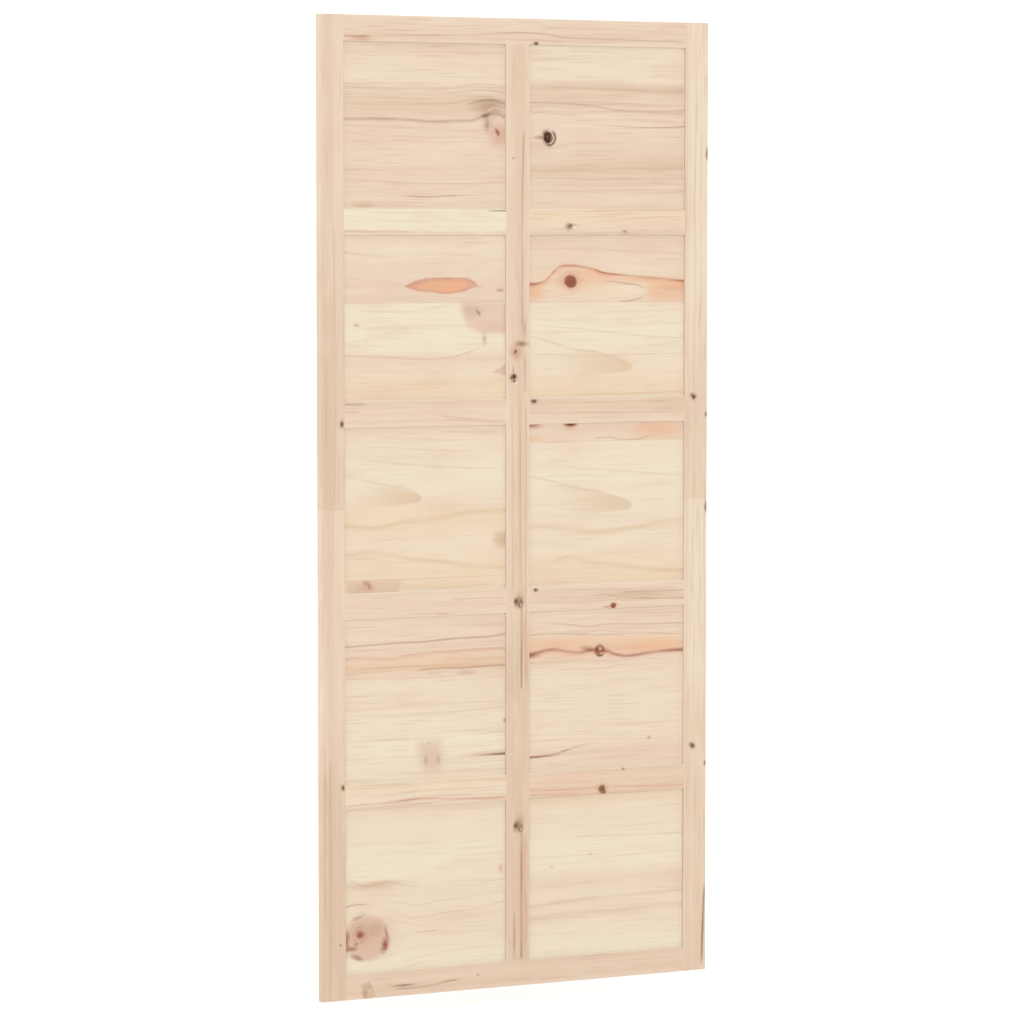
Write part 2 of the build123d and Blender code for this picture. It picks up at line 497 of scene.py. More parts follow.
    def draw_crescents_and_glint(self, colour, along, across, reach, depth):
        """Dark arcs and a painted glint of pale arcs on the lower right half of a loose knot."""
        distance = self.round_about(along, across, reach, depth, 0.15)
        side = ((self.along - along) / reach + (self.across - across) / (2.0 * depth)).ramp(-0.1, 0.5)
        glint_ripple = (distance * 12.6 - 1.2).function("SINE").ramp(-0.4, 0.6)
        mask = distance.ramp(1.3, 1.05) * distance.ramp(0.4, 0.55) * side
        colour = self.mix(mask * 0.78, colour, UMBER)
        # The pale arcs are a painted glint
        return self.mix(mask * glint_ripple * 0.8, colour, ROSE)

    def draw_rings(self, colour, along, across, reach, depth):
        """A wide knot's growth rings."""
        distance = self.round_about(along, across, reach, depth, 0.4)
        ring = ((distance * 3.5).function("FRACT") - 0.5).function("ABSOLUTE")
        mask = ring.ramp(0.15, 0.5) * distance.ramp(1.15, 0.6) * self.breaks
        return self.mix(mask * 0.65, colour, CLAY)

    def build(self):
        """The finished material."""
        material = bpy.data.materials.new(self.name + "_pine")
        material.use_nodes = True
        self.tree = material.node_tree
        shader = self.tree.nodes["Principled BSDF"]
        self.locate()
        colour, fibre, height = self.base()
        for draw, *details in self.marks:
            colour = draw(colour, *details)
        self.tree.links.new(colour, shader.inputs["Base Color"])
        roughness = fibre * 0.2 + 0.5
        self.tree.links.new(roughness.socket, shader.inputs["Roughness"])
        shader.inputs["Specular IOR Level"].default_value = RAW_SHINE
        bump = self.tree.nodes.new("ShaderNodeBump")
        bump.inputs["Strength"].default_value = BUMP_SHARE
        bump.inputs["Distance"].default_value = BUMP_DEPTH
        feed(self.tree, bump.inputs["Height"], height)
        self.tree.links.new(bump.outputs[0], shader.inputs["Normal"])
        return material


# Panels, each from its visible top left corner

def left_panel_1(wood):
    wood.zones((0, SAND), (20, ROSE), (60, BLOND), (80, BLOND), (92, ROSE), (130, SAND), (165, ROSE))
    wood.band(86, 122, 0.35)
    wood.line([(0, 86), (126, 84), (228, 82)], share=0.6)
    wood.line([(185, 97), (240, 94), (305, 84), (368, 87)], share=0.7)
    wood.line([(220, 106), (280, 98), (330, 96), (368, 102)], tint=CLAY, share=0.4)
    wood.line([(0, 126), (100, 128), (200, 125), (250, 123), (297, 112), (325, 109), (368, 119)], share=0.8,
              soft=4)
    wood.stain(332, 130, 60, 32, CLAY, 0.75, 0.0, 0.7)
    wood.stain(350, 184, 40, 50, BLUSH, 0.75, 0.1, 0.7)
    wood.stain(354, 190, 30, 42, CORAL, 0.4, 0.0, 0.7)
    wood.stain(326, 164, 18, 28, CLAY, 0.45, 0.0, 0.7)
    wood.line([(270, 129), (310, 118), (335, 116), (368, 124)], tint=OLIVE, share=0.5, width=4)
    wood.line([(0, 158), (80, 157), (150, 158), (192, 161), (256, 159), (295, 157), (318, 149), (340, 143),
               (368, 150)], tint=CLAY, share=0.72, width=4, soft=8)
    wood.line([(322, 142), (345, 132), (368, 138)], tint=CREAM, share=0.75, width=4, soft=5, fade=15)
    wood.stain(324, 148, 18, 8, UMBER, 0.65, 0.0, 0.6, -12)
    wood.stain(326, 168, 7, 22, OLIVE, 0.4, 0.0, 0.5)
    wood.stain(350, 183, 14, 6.5, RUST, 0.8, 0.2, 0.5, 60)
    wood.line([(200, 208), (308, 200)], share=0.5)
    wood.line([(0, 263), (80, 263), (103, 267), (162, 266)], share=0.5)
    wood.line([(0, 283), (56, 284), (128, 288), (208, 290), (368, 287)], share=0.6, soft=4)
    wood.line([(112, 316), (158, 317), (194, 318), (240, 316), (300, 315)], tint=CLAY, share=0.85, soft=3,
              fade=60)
    wood.stain(45, 336, 38, 7, CORAL, 0.5, 0.1)


def left_panel_2(wood):
    wood.grain(0.6)
    wood.zones((0, ROSE), (30, BLOND), (60, ROSE), (139, ROSE), (141, CREAM), (235, CREAM), (258, ROSE),
               (285, BLOND), (310, HONEY))
    wood.seam(140)
    wood.line([(0, 33), (72, 43), (128, 45)], share=0.6, soft=4)
    wood.line([(205, 37), (256, 40), (318, 43)], share=0.5)
    wood.line([(250, 14), (340, 16)], share=0.5)
    wood.stain(220, 102, 110, 26, BLUSH, 0.5, 0.0)
    wood.stain(310, 107, 14, 4, CORAL, 0.5, 0.0)
    wood.patch([(136, 106), (160, 95), (188, 88), (280, 88), (300, 98), (306, 106), (264, 119), (228, 122),
                (165, 115)], CORAL, 0.95, 1.6)
    wood.patch([(160, 106), (196, 94), (272, 94), (292, 103), (262, 116), (228, 119), (180, 113)], AMBER,
               0.9, 5.0)
    wood.stain(356, 115, 14, 6, OLIVE, 0.55, 0.0)
    wood.line([(16, 153), (187, 155), (228, 147), (265, 140)], share=0.4)
    wood.patch([(267, 141), (375, 141), (375, 205), (315, 206), (279, 190)], BLUSH, 0.75, 8.0)
    wood.stain(288, 158, 34, 26, MAUVE, 0.7, 0.0, 0.7)
    wood.stain(305, 160, 15, 7, CLAY, 0.6, 0.0, 0.5, 55)
    wood.stain(306, 162, 11, 4, UMBER, 0.4, 0.0, 0.4, 55)
    wood.stain(320, 217, 8, 18, CLAY, 0.6, 0.0, 0.6)
    wood.line([(0, 247), (121, 253), (205, 256), (272, 247), (319, 228)], share=0.6, soft=5)
    wood.stain(29, 185, 11, 6, CLAY, 0.6, 0.0)
    wood.patch([(336, 287), (372, 269), (372, 294)], MAUVE, 0.75, 3.0)


def left_panel_3(wood):
    wood.grain(0.5)
    wood.zones((0, ROSE), (30, BLOND), (60, BLOND), (110, CREAM), (150, BLOND), (185, HONEY), (250, BLOND),
               (300, HONEY))
    wood.seam(317)
    wood.line([(212, 10), (302, 13), (362, 12)], share=0.7)
    wood.line([(67, 20), (164, 24), (226, 28), (288, 29)], share=0.6, soft=4)
    wood.line([(26, 39), (85, 41), (186, 48), (265, 52), (327, 56)], share=0.5)
    wood.line([(20, 62), (85, 70), (135, 76), (195, 82), (242, 85), (288, 88), (362, 90)], share=0.5,
              soft=4)
    wood.tongue((-80, 130), (175, 149), 36, WHEAT, 0.6, 0.3)
    wood.line([(0, 101), (44, 108), (74, 115), (119, 124), (153, 133), (173, 148)], share=0.45, width=3.5)
    wood.line([(0, 202), (26, 204), (74, 208), (135, 196), (195, 194), (256, 185), (299, 179), (368, 180)],
              tint=STRAW, share=0.85, width=8, soft=12)
    wood.patch([(344, 227), (376, 224), (376, 259), (350, 257), (340, 243)], WHEAT, 0.72, 8.0)
    wood.line([(0, 263), (83, 261), (103, 265), (164, 277), (226, 284), (288, 293), (368, 300)], tint=STRAW,
              share=0.85, width=7, soft=9)
    wood.patch([(6, 319), (128, 319), (122, 350), (10, 350)], MAUVE, 0.5, 7.0)
    wood.stain(50, 330, 34, 18, CORAL, 0.5, 0.0, 0.9)
    wood.stain(56, 329, 7, 15, RUST, 0.48, 0.0, 0.6, -25)
    wood.stain(47, 323, 8, 8, OLIVE, 0.4, 0.0)
    wood.line([(180, 341), (256, 338), (349, 334)], share=0.5)


def left_panel_4(wood):
    wood.zones((75, ROSE), (95, HONEY), (122, ROSE), (140, BLOND), (200, BLOND), (260, CREAM), (330, BLOND))
    wood.line([(0, 56), (58, 54), (119, 52), (180, 52), (226, 49), (287, 48), (334, 47), (368, 43)],
              tint=CLAY, share=0.8, soft=4)
    wood.stain(180, 98, 280, 26, AMBER, 0.32, 0.2)
    wood.band(84, 116, 0.35)
    wood.line([(0, 80), (58, 80), (103, 84), (135, 79), (180, 76), (226, 75), (288, 73), (368, 72)],
              tint=CORAL, share=0.6, width=3, soft=10)
    wood.line([(153, 111), (226, 109), (272, 110), (318, 109), (368, 109)], tint=CLAY, share=0.8, soft=5)
    wood.stain(277, 121, 34, 8, TAN, 0.8)
    wood.line([(0, 124), (74, 125), (164, 127), (226, 127), (318, 126)], share=0.5)
    wood.line([(30, 158), (110, 157)], share=0.4)
    wood.line([(250, 215), (350, 212)], share=0.4)
    wood.line([(20, 245), (160, 246)], share=0.4)
    wood.stain(366, 227, 5, 7, UMBER, 0.6, 0.0)
    wood.stain(196, 296, 50, 56, BLUSH, 0.4, 0.0, 0.8)
    wood.patch([(165, 262), (215, 260), (222, 292), (214, 328), (182, 322), (170, 292)], TAN, 0.5, 15.0)
    for along in (184, 213):
        wood.stain(along, 302, 7, 15, CLAY, 0.55, 0.0, 0.6)
    wood.stain(191, 267, 6, 4, CLAY, 0.5, 0.0)
    wood.stain(350, 294, 75, 10, BLUSH, 0.6, 0.0)
    wood.stain(340, 298, 75, 3.6, CLAY, 0.8, 0.0)
    wood.stain(368, 298, 50, 4.5, UMBER, 0.75, 0.0)
    wood.line([(217, 309), (253, 311), (288, 313), (368, 312)], share=0.5)


def left_panel_5(wood):
    wood.grain(0.55)
    wood.zones((40, BLOND), (90, CREAM), (140, CREAM), (165, BLOND), (270, BLOND), (310, CREAM))
    wood.stain(357, 144, 10, 17, CORAL, 0.6, 0.0)
    wood.line([(300, 171), (368, 167)], share=0.7)
    wood.stain(70, 160, 95, 14, TAN, 0.7, 0.0, 0.9)
    wood.line([(0, 157), (18, 151), (37, 160), (74, 159), (100, 155), (144, 167), (183, 170)], tint=CLAY,
              share=0.3, width=4)
    wood.line([(84, 192), (126, 202), (169, 209), (208, 204), (256, 202), (368, 190)], share=0.5)
    wood.line([(128, 233), (185, 235), (224, 230), (272, 228), (368, 215)], share=0.5)
    wood.line([(155, 267), (185, 267), (215, 265)], tint=CLAY, share=0.8, fade=15)
    wood.stain(70, 265, 80, 66, BLUSH, 0.5, 0.2, 0.6)
    wood.ringed_knot(49, 270, 50, 49, (34, 263))
    wood.stain(50, 270, 52, 50, CLAY, 0.14, 0.6, 0.4)
    wood.stain(70, 253, 30, 26, CLAY, 0.4, 0.0, 0.7)
    wood.stain(36, 264, 32, 30, CORAL, 0.4, 0.2, 0.7)
    wood.stain(34, 262, 14, 16, RUST, 0.85, 0.1, 0.7)
    wood.stain(32, 265, 6, 8, UMBER, 0.5, 0.0)
    wood.stain(24, 283, 8, 6, RUST, 0.55, 0.0)
    wood.stain(91, 288, 14, 26, RUST, 0.95, 0.0, 0.7, 15)
    wood.stain(93, 262, 5, 20, RUST, 0.6, 0.0, 0.6, -15)
    wood.stain(3, 276, 11, 38, RUST, 0.72, 0.0, 0.7)
    wood.stain(14, 292, 20, 8, RUST, 0.7, 0.0, 0.7)
    wood.stain(26, 311, 24, 9, RUST, 0.72, 0.0, 0.6, 22)
    wood.stain(30, 226, 24, 7, OLIVE, 0.45, 0.0, 0.6, -18)
    wood.line([(0, 203), (25, 199), (63, 203)], tint=OLIVE, share=0.5)
    wood.line([(10, 228), (32, 216), (60, 220)], tint=OLIVE, share=0.45)


def right_panel_1(wood):
    wood.zones((70, BLOND), (88, SAND), (140, ROSE), (190, ROSE), (255, SAND), (290, ROSE))
    wood.band(82, 145, 0.34)
    wood.band(252, 308, 0.28)
    wood.line([(20, 84), (129, 89), (368, 94)], share=0.7)
    wood.line([(0, 120), (56, 120), (129, 123), (212, 133), (368, 132)], tint=CLAY, share=0.5, soft=4)
    wood.line([(0, 138), (63, 143), (129, 146)], share=0.7)
    wood.line([(119, 162), (212, 167), (269, 169), (368, 166)], tint=CLAY, share=0.8, soft=4, fade=110)
    wood.line([(98, 203), (204, 202)], share=0.5)
    wood.line([(283, 203), (368, 203)], share=0.5)
    wood.line([(44, 260), (166, 256)], share=0.5)
    wood.line([(270, 250), (368, 250)], share=0.7, soft=5)
    wood.line([(162, 277), (368, 275)], share=0.6, soft=4)
    wood.line([(16, 306), (110, 304), (204, 302), (368, 302)], share=0.7, soft=4)
    wood.dead_knot(47, 193, 15, 16.5)


def right_panel_2(wood):
    wood.grain(0.6)
    wood.zones((0, SAND), (30, ROSE), (70, ROSE), (110, HONEY), (140, ROSE), (142, BLOND), (200, CREAM),
               (280, BLOND), (330, HONEY))
    wood.seam(141)
    wood.line([(281, 52), (368, 52)], share=0.5)
    wood.line([(80, 28), (180, 31), (368, 40)], share=0.5)
    wood.stain(10, 122, 44, 22, AMBER, 0.55, 0.2)
    wood.stain(120, 96, 110, 40, AMBER, 0.5, 0.0)
    wood.patch([(272, 118), (296, 100), (390, 92), (390, 140), (300, 138)], AMBER, 0.55, 13.0)
    wood.stain(340, 112, 50, 10, CORAL, 0.35, 0.0, 0.8)
    curve = [(0, 101), (31, 98), (45, 90), (58, 76), (76, 65), (96, 63), (124, 66), (152, 71), (172, 78),
             (225, 84), (295, 90), (368, 97)]
    wood.line(curve, tint=AMBER, share=0.95, width=4, soft=20)
    wood.line(curve, tint=RUST, share=0.65, width=3, soft=6)
    wood.stain(4, 104, 28, 9, RUST, 0.35, 0.0)
    wood.tongue((60, 117), (283, 117), 24, CREAM, 0.4, 0.0)
    wood.line([(170, 97), (230, 102), (263, 108), (281, 117)], tint=CLAY, share=0.6, width=3.5, fade=20)
    wood.line([(205, 139), (250, 137), (270, 130), (281, 118)], tint=CLAY, share=0.6, width=3.5, fade=20)
    wood.red_knot(98, 97, 14.5, 15, halo=CORAL, halo_share=0.65)
    wood.line([(35, 192), (124, 198), (225, 210), (368, 220)], share=0.45)
    wood.tongue((-60, 248), (245, 280), 40, WHEAT, 0.55, 0.3)
    wood.line([(0, 212), (69, 230), (96, 238), (172, 250), (225, 268), (244, 283)], share=0.5, width=3.5)
    wood.line([(90, 338), (368, 334)], tint=CORAL, share=0.35, soft=4)


def right_panel_3(wood):
    wood.grain(0.5)
    wood.zones((28, ROSE), (37, HONEY), (40, BLOND), (110, CREAM), (200, BLOND), (260, BLOND), (330, HONEY))
    wood.seam(38)
    wood.stain(170, 14, 170, 22, BLUSH, 0.4, 0.0)
    wood.stain(0, 5, 50, 9, CORAL, 0.9, 0.0)
    wood.stain(0, 3, 36, 4, RUST, 0.6, 0.0)
    wood.stain(10, 30, 40, 10, AMBER, 0.35, 0.0, 0.8)
    wood.stain(98, 8, 26, 12, CORAL, 0.5, 0.0)
    wood.stain(98, 2, 22, 7, RUST, 0.95, 0.2)
    wood.stain(98, 1, 16, 4, UMBER, 0.7, 0.0)
    wood.stain(300, 14, 85, 30, AMBER, 0.65, 0.0, 0.8)
    wood.stain(350, 14, 60, 24, AMBER, 0.35, 0.0, 0.8)
    wood.line([(140, 36), (190, 31), (216, 36), (255, 36), (279, 32), (300, 26)], tint=OLIVE, share=0.55)
    wood.line([(72, 90), (157, 98), (255, 107), (368, 117)], share=0.45, soft=4)
    wood.tongue((-80, 143), (244, 177), 42, WHEAT, 0.55, 0.3)
    wood.line([(0, 110), (60, 123), (108, 137), (157, 145), (206, 159), (243, 179)], share=0.5, width=3.5)
    wood.line([(0, 217), (92, 223), (157, 231), (238, 226), (304, 217), (368, 212)], tint=STRAW, share=0.85,
              width=8, soft=12)
    wood.line([(40, 302), (92, 284), (140, 295), (206, 303), (255, 311), (368, 322)], tint=STRAW,
              share=0.85, width=8, soft=10)


def right_panel_4(wood):
    wood.zones((50, ROSE), (75, HONEY), (110, ROSE), (130, BLOND), (260, BLOND), (300, ROSE))
    wood.line([(30, 26), (86, 29), (138, 36), (190, 33), (271, 36), (368, 37)], tint=CLAY, share=0.5)
    wood.line([(0, 50), (44, 48), (92, 50), (157, 55), (221, 55), (368, 61)], tint=CLAY, share=0.5)
    wood.patch([(-10, 56), (120, 58), (380, 66), (380, 96), (200, 102), (-10, 96)], AMBER, 0.35, 9.0)
    wood.stain(60, 72, 90, 14, AMBER, 0.4, 0.0, 0.8)
    wood.stain(290, 84, 120, 20, AMBER, 0.55, 0.0, 0.8)
    curve = [(0, 93), (28, 85), (60, 82), (92, 88), (124, 91), (150, 86), (185, 91), (209, 99), (228, 103),
             (255, 102), (288, 98), (368, 95)]
    wood.line(curve, tint=CORAL, share=0.9, width=8, soft=11)
    wood.line(curve, tint=CLAY, share=0.85, width=4, soft=5)
    wood.line(curve, tint=RUST, share=0.35, width=3.5, soft=5)
    wood.stain(0, 92, 42, 11, RUST, 0.65, 0.0)
    wood.stain(368, 96, 60, 4, RUST, 0.5, 0.0)
    wood.stain(140, 84, 30, 10, RUST, 0.55, 0.0, 0.5, 12)
    wood.ring_knot(168, 89, 13, 14)
    wood.line([(57, 126), (157, 127), (221, 128), (368, 129)], share=0.5)
    wood.stain(286, 282, 6, 7, CLAY, 0.7, 0.0)
    wood.line([(0, 310), (31, 309), (60, 307), (92, 298), (131, 290), (180, 288)], tint=CLAY, share=0.95,
              width=4, fade=110)
    wood.stain(14, 309, 40, 3, RUST, 0.6, 0.0)
    wood.line([(41, 334), (77, 331), (124, 325)], share=0.5)


def right_panel_5(wood):
    wood.grain(0.55)
    wood.zones((0, HONEY), (30, BLOND), (70, BLOND), (110, CREAM), (150, CREAM), (185, ROSE), (215, BLOND),
               (260, BLOND), (310, CREAM))
    wood.line([(96, 88), (228, 92), (313, 94), (368, 95)], share=0.6)
    for along, across in ((55, 149), (146, 128)):
        wood.stain(along, across, 6, 5, CLAY, 0.5, 0.0)
    wood.line([(30, 190), (72, 191), (110, 190), (159, 190)], share=0.7)
    wood.line([(280, 210), (368, 212)], share=0.5)
    wood.line([(0, 232), (129, 224), (263, 221), (368, 219)], share=0.45, width=5, soft=8)
    wood.line([(0, 257), (63, 254), (129, 252), (212, 254), (263, 251), (368, 249)], share=0.5, width=7,
              soft=14)


# Cross rails, each from its top left corner between stile and mullion

def left_cross_rail_1(wood):
    wood.grain(0.5)
    wood.zones((42, CREAM), (50, ROSE))
    wood.line([(318, 3), (368, 3)], tint=OLIVE, share=0.9, soft=4, fade=20)
    wood.line([(0, 46), (170, 47)], share=0.7, width=3, soft=5)


def left_cross_rail_2(wood):
    wood.zones((0, SAND), (20, ROSE))
    wood.line([(0, 5), (60, 6)], tint=OLIVE, share=0.5, soft=4)
    wood.line([(192, 29), (253, 37), (368, 48)], share=0.7)
    wood.line([(210, 38), (280, 45), (368, 50)], share=0.7)


def left_cross_rail_3(wood):
    wood.line([(188, 49), (248, 51)], tint=RUST, share=0.5)
    wood.line([(230, 18), (368, 22)], share=0.6)


def left_cross_rail_4(wood):
    wood.zones((0, HONEY), (34, BLOND), (50, ROSE))
    wood.line([(110, 43), (162, 38), (260, 44), (368, 46)], tint=CORAL, share=0.75, width=3.5, soft=6)
    wood.line([(180, 33), (260, 36), (368, 39)], tint=CORAL, share=0.5, width=3)
    wood.line([(0, 45), (101, 42), (180, 38)], tint=CLAY, share=0.5)
    wood.line([(0, 53), (100, 51), (220, 48)], tint=CLAY, share=0.45)
    wood.line([(100, 4), (140, 8), (158, 13), (166, 17), (172, 20)], share=0.6, fade=10)
    wood.line([(100, 30), (136, 28), (158, 23), (166, 19), (172, 17)], share=0.6, fade=10)


def right_cross_rail_1(wood):
    wood.zones((20, HONEY), (42, ROSE), (50, SAND))
    wood.line([(200, 24), (294, 17), (368, 15)], share=0.6)
    wood.line([(130, 2), (368, 1)], tint=CORAL, share=0.5, soft=4)
    wood.stain(91, 37, 15, 11, OLIVE, 0.75, 0.0, 0.6)
    wood.stain(95, 34, 8, 7, UMBER, 0.65, 0.0, 0.6)
    wood.stain(104, 33, 12, 4, OLIVE, 0.4, 0.0)
    wood.stain(104, 39, 7, 4.5, CREAM, 0.9, 0.0)
    wood.pin_knot(223, 47, 6, 4, core=CLAY, skirt=TAN)


def right_cross_rail_2(wood):
    wood.zones((20, SAND), (50, ROSE))
    wood.line([(85, 31), (222, 34), (368, 33)], share=0.7)
    wood.pin_knot(10, 6, 8, 4.5)


def right_cross_rail_3(wood):
    wood.zones((0, ROSE), (30, SAND), (50, ROSE))
    wood.stain(260, 24, 150, 13, CLAY, 0.35, 0.0)
    wood.line([(200, 20), (368, 21)], tint=CLAY, share=0.5)
    wood.line([(130, 30), (171, 24), (219, 31), (368, 38)], tint=CLAY, share=0.6)
    wood.pin_knot(14, 8, 5, 4)
    wood.stain(184, 50, 20, 4, RUST, 0.5, 0.0)
    wood.red_knot(198, 48, 6.5, 6.5, halo=CORAL)


def right_cross_rail_4(wood):
    wood.zones((0, SAND), (15, ROSE), (34, SAND))
    wood.stain(184, 30, 300, 46, AMBER, 0.14, 0.4)
    wood.line([(0, 37), (121, 40), (162, 39), (252, 42), (368, 46)], tint=CORAL, share=0.7)
    wood.line([(0, 47), (121, 51), (203, 52), (290, 51)], tint=CORAL, share=0.6)
    wood.stain(222, 3, 6, 5, UMBER, 0.6, 0.0)
    wood.red_knot(171, 43, 8, 8.5, body=OLIVE, halo=CORAL, halo_share=0.7)
    wood.stain(174, 50, 11, 7, OLIVE, 0.85, 0.3, 0.6)
    wood.stain(172, 47, 9, 10, RUST, 0.5, 0.0, 0.6)
    wood.stain(168, 50, 8, 5, CLAY, 0.5, 0.0, 0.6)


# Full-width rails, from their left ends between the stiles

def top_rail(wood):
    wood.zones((28, ROSE), (42, SAND), (50, ROSE))
    wood.line([(18, 24), (108, 23)], share=0.7)
    wood.line([(174, 22), (396, 14)], share=0.6)
    wood.line([(430, 14), (640, 20), (790, 18)], share=0.5)
    wood.line([(79, 42), (205, 39), (302, 36), (410, 30), (459, 32), (516, 39), (582, 40), (632, 40),
               (790, 42)], tint=CLAY, share=0.5, width=3)
    wood.stain(36, 48, 38, 7, CORAL, 0.7, 0.1)
    wood.line([(0, 44), (66, 44)], tint=RUST, share=0.7, fade=20)
    wood.pin_knot(437, 52, 6, 4)


def bottom_rail(wood):
    wood.zones((0, SAND), (20, ROSE), (40, SAND), (52, ROSE))
    wood.patch([(32, 23), (54, 20), (62, 36), (66, 52), (40, 56)], TAN, 0.85, 3.0)
    wood.stain(42, 44, 9, 15, CLAY, 0.7, 0.0, 0.6)
    wood.stain(52, 30, 9, 6, CLAY, 0.4, 0.0)
    wood.stain(128, 33, 42, 4.5, UMBER, 0.62, 0.0)
    wood.line([(100, 40), (183, 39), (237, 32), (270, 30)], tint=OLIVE, share=0.55, width=3)
    wood.stain(302, 24, 5, 4, UMBER, 0.5, 0.0)


# Uprights, from their top ends, across from the left

def left_stile(wood):
    wood.grain(0.65)
    wood.zones((0, BLOND), (4, ROSE), (18, SAND), (40, ROSE))
    wood.stretch(300, 1020, TAN, 0.38, 500)
    wood.stretch(1450, 2100, TAN, 0.5, 200)
    wood.line([(560, 12), (800, 13), (1020, 12)], tint=CLAY, share=0.28, width=4.5)
    wood.line([(420, 32), (760, 33), (1020, 31)], tint=CLAY, share=0.32, width=4.5)
    wood.line([(1480, 9), (1700, 8), (1920, 10)], tint=CLAY, share=0.38, width=4.5, fade=90)
    wood.line([(1500, 20), (1760, 21), (2045, 20)], tint=CLAY, share=0.38, width=4.5, fade=90)
    wood.pin_knot(842, 49, 7, 4.5)
    wood.pin_knot(1598, 49, 6, 4)
    wood.stain(1928, 42, 5, 4, UMBER, 0.6, 0.0)


def right_stile(wood):
    wood.zones((0, ROSE), (20, BLOND))
    wood.stretch(560, 1020, SAND, 0.7, 200)
    wood.stretch(1350, 2100, SAND, 0.8, 200)
    for along in (799, 1554):
        wood.pin_knot(along, 22, 6, 6)
        wood.stain(along - 4, 17, 7, 7, OLIVE, 0.75, 0.0, 0.9)
    for along, reach in ((279, 20), (837, 9), (1036, 20), (1593, 9)):
        wood.stain(along, 55, reach, 8.5, OLIVE, 0.85, 0.3)
    wood.line([(1849, 52), (2043, 44)], tint=OLIVE, share=0.9, width=4.4)


def mullion(wood):
    wood.grain(0.7)
    wood.zones((0, ROSE), (30, SAND), (42, SAND), (50, ROSE))
    wood.stretch(1200, 1365, TAN, 0.5, 100)
    wood.stretch(1365, 2000, TAN, 0.35)
    wood.stain(237, 17, 4, 3, UMBER, 0.7, 0.0)
    wood.line([(168, 42), (324, 38), (612, 38)], tint=OLIVE, share=0.42, width=4)
    wood.stain(641, 24, 34, 26, MAUVE, 0.7, 0.0, 0.7)
    wood.stain(645, 22, 18, 17, CORAL, 0.7, 0.2, 0.6)
    wood.line([(560, 46), (627, 42)], tint=OLIVE, share=0.6, width=6, fade=50)
    wood.stain(626, 37, 10, 24, OLIVE, 0.75, 0.0, 0.6)
    wood.stain(642, 22, 8, 5, UMBER, 0.85, 0.0, 0.4, -40)
    wood.line([(640, 44), (740, 46)], tint=CLAY, share=0.6, width=5)
    wood.stain(697, 17, 15, 14, OLIVE, 0.65, 0.0, 0.6)
    wood.stain(682, 17, 16, 3.5, OLIVE, 0.5, 0.0)
    wood.stain(694, 19, 7.5, 7, BARK, 0.95, 0.1, 0.6)
    wood.stain(697, 12, 6, 6, UMBER, 0.7, 0.0, 0.6)
    wood.stain(704, 19, 5, 5, UMBER, 0.8, 0.0, 0.6)
    wood.stain(709, 24, 5, 4.5, CREAM, 0.9, 0.0)
    wood.line([(740, 15), (1170, 16)], share=0.6, width=3.5)
    wood.line([(740, 33), (1150, 33)], tint=CLAY, share=0.55, width=3.5)
    wood.line([(740, 47), (1350, 46)], tint=CLAY, share=0.5, width=3.5)
    wood.line([(1180, 46), (1359, 46)], tint=CORAL, share=0.5, width=9, fade=40)
    wood.line([(1655, 44), (1935, 46)], tint=CORAL, share=0.5, width=9, fade=40)
    for along, crack_end in ((1172, 1359), (1649, 1935)):
        wood.line([(along + 8, 36), (crack_end, 36)], tint=OLIVE, share=0.65, width=4, fade=10)
        wood.tooth_knot(along, 28)
    wood.line([(1817, 19), (1935, 19)], tint=OLIVE, share=0.6)


PANELS = {
    "left": (left_panel_1, left_panel_2, left_panel_3, left_panel_4, left_panel_5),
    "right": (right_panel_1, right_panel_2, right_panel_3, right_panel_4, right_panel_5),
}
CROSS_RAILS = {
    "left": (left_cross_rail_1, left_cross_rail_2, left_cross_rail_3, left_cross_rail_4),
    "right": (right_cross_rail_1, right_cross_rail_2, right_cross_rail_3, right_cross_rail_4),
}


def lay_pine(draw, sides, levels, streaks, seed, upright=False, paint_rim_light=False):
    """Gives the CAD node named like the drawing function its pine, between two X and two Z values."""
    (left, right), (bottom, top) = sides, levels
    width, height = (right - left) * MM, (top - bottom) * MM
    size = (height, width) if upright else (width, height)
    wood = Pine(draw.__name__, (left, top), size, upright, paint_rim_light, streaks, seed)
    draw(wood)
    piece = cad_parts[draw.__name__]
    piece.data.materials.clear()
    piece.data.materials.append(wood.build())


def sight_levels(column, row):
    """Lower and upper Z of the visible part of a panel, counted from the top."""
    top = RAIL_BOTTOM if row == 1 else span(f"{column}_cross_rail_{row - 1}", Z)[0]
    bottom = RAIL_TOP if row == ROWS else span(f"{column}_cross_rail_{row}", Z)[1]
    return bottom, top


def lay_all_pine():
    """Pine for every piece."""
    for column, sides in COLUMNS.items():
        shift = 101.0 * (column == "right")
        for row, draw in enumerate(PANELS[column], 1):
            lay_pine(draw, sides, sight_levels(column, row), PANEL_STREAKS, 13.0 * row + shift, paint_rim_light=True)
        for row, draw in enumerate(CROSS_RAILS[column], 1):
            levels = span(draw.__name__, Z)
            lay_pine(draw, sides, levels, MEMBER_STREAKS, 7.0 + 17.0 * row + shift)
    inner = (LEFT_SIGHT, RIGHT_SIGHT)
    lay_pine(top_rail, inner, (RAIL_BOTTOM, LEAF_TOP), MEMBER_STREAKS, 211.0)
    lay_pine(bottom_rail, inner, (LEAF_BOTTOM, RAIL_TOP), MEMBER_STREAKS, 223.0)
    full = (LEAF_BOTTOM, LEAF_TOP)
    lay_pine(left_stile, (LEAF_LEFT, LEFT_SIGHT), full, MEMBER_STREAKS, 241.0, upright=True)
    lay_pine(right_stile, (RIGHT_SIGHT, LEAF_RIGHT), full, MEMBER_STREAKS, 263.0, upright=True)
    sides, levels = (MULLION_LEFT, MULLION_RIGHT), (RAIL_TOP, RAIL_BOTTOM)
    lay_pine(mullion, sides, levels, MEMBER_STREAKS, 277.0, upright=True)


# Studio

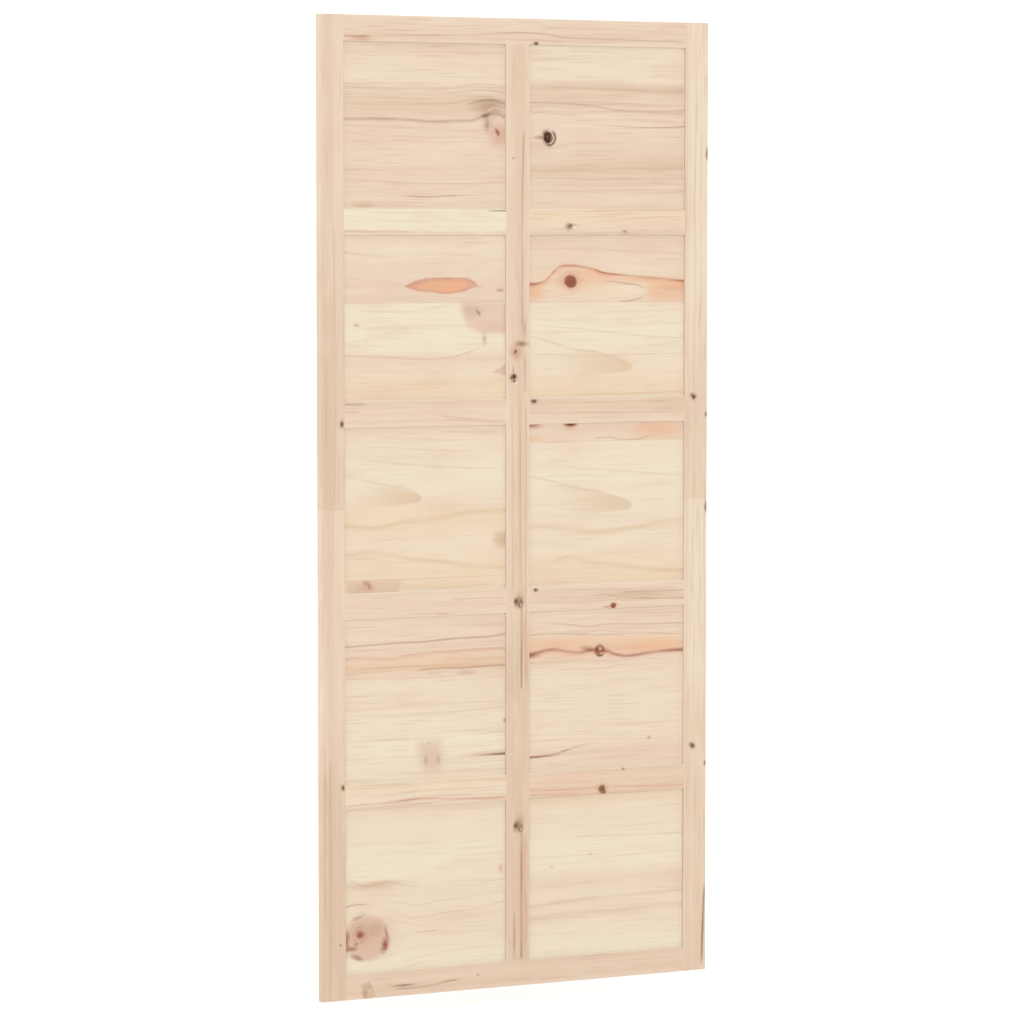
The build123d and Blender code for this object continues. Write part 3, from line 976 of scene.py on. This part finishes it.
LEAF_MIDDLE = (0.0, 0.0, -1.0)
FLOOR_GAP = 0.050  # the leaf hangs clear of the floor
FLOOR_HALF = 20.0  # metres, half its side
FLOOR_WHITE = 0.99
SKY_STRENGTH = 1.22
KEY_STRENGTH = 0.9
KEY_SPREAD = 40.0  # degrees, for soft shadows
KEY_PLACE = (-1.9, -4.4, 0.3)
SOFTBOX_SIZE = 3.0
SOFTBOX_WATTS = 30.0
SOFTBOX_PLACE = (-5.0, 1.5, -0.8)
SOFTBOX_AIM = (-0.4, 0.0, -1.0)
CAMERA_PLACE = (-3.597, -7.676, -0.440)
CAMERA_TURN = 25.05  # degrees to the right
CAMERA_DIP = 4.02  # degrees below level
CAMERA_LENS = 141.5
CAMERA_SENSOR = 36.0
CAMERA_REACH = 100.0  # metres


def make_floor():
    """A wide white floor under the leaf."""
    height = LEAF_BOTTOM - FLOOR_GAP
    corners = [(-1, -1), (1, -1), (1, 1), (-1, 1)]
    mesh = bpy.data.meshes.new("floor")
    mesh.from_pydata([(FLOOR_HALF * x, FLOOR_HALF * y, height) for x, y in corners], [], [(0, 1, 2, 3)])
    floor = bpy.data.objects.new("floor", mesh)
    bpy.context.collection.objects.link(floor)
    material = bpy.data.materials.new("floor_paint")
    material.use_nodes = True
    shader = material.node_tree.nodes["Principled BSDF"]
    shader.inputs["Base Color"].default_value = (FLOOR_WHITE, FLOOR_WHITE, FLOOR_WHITE, 1.0)
    shader.inputs["Roughness"].default_value = 0.9
    shader.inputs["Specular IOR Level"].default_value = 0.1
    mesh.materials.append(material)


def make_world():
    """Even white light from all round."""
    world = bpy.data.worlds.new("studio")
    world.use_nodes = True
    background = world.node_tree.nodes["Background"]
    background.inputs["Color"].default_value = (1.0, 1.0, 1.0, 1.0)
    background.inputs["Strength"].default_value = SKY_STRENGTH
    bpy.context.scene.world = world


def place_lamp(light, place, aim):
    """Puts a light at a place, facing a point."""
    lamp = bpy.data.objects.new(light.name, light)
    lamp.location = place
    lamp.rotation_euler = (Vector(aim) - lamp.location).to_track_quat("-Z", "Y").to_euler()
    bpy.context.collection.objects.link(lamp)


def make_lights():
    """A broad soft key from the upper left, and a softbox for the left edge."""
    key = bpy.data.lights.new("key", "SUN")
    key.energy = KEY_STRENGTH
    key.angle = radians(KEY_SPREAD)
    place_lamp(key, KEY_PLACE, LEAF_MIDDLE)
    side = bpy.data.lights.new("side", "AREA")
    side.size = SOFTBOX_SIZE
    side.energy = SOFTBOX_WATTS
    place_lamp(side, SOFTBOX_PLACE, SOFTBOX_AIM)


def make_camera():
    """The photo's view: from the front left, a little above the middle."""
    camera = bpy.data.cameras.new("camera")
    camera.lens = CAMERA_LENS
    camera.sensor_width = CAMERA_SENSOR
    camera.clip_end = CAMERA_REACH
    holder = bpy.data.objects.new("camera", camera)
    holder.location = CAMERA_PLACE
    holder.rotation_euler = (radians(90.0 - CAMERA_DIP), 0.0, radians(-CAMERA_TURN))
    bpy.context.collection.objects.link(holder)
    bpy.context.scene.camera = holder


lay_all_pine()
make_floor()
make_world()
make_lights()
make_camera()
bpy.context.scene.view_settings.view_transform = "Standard"
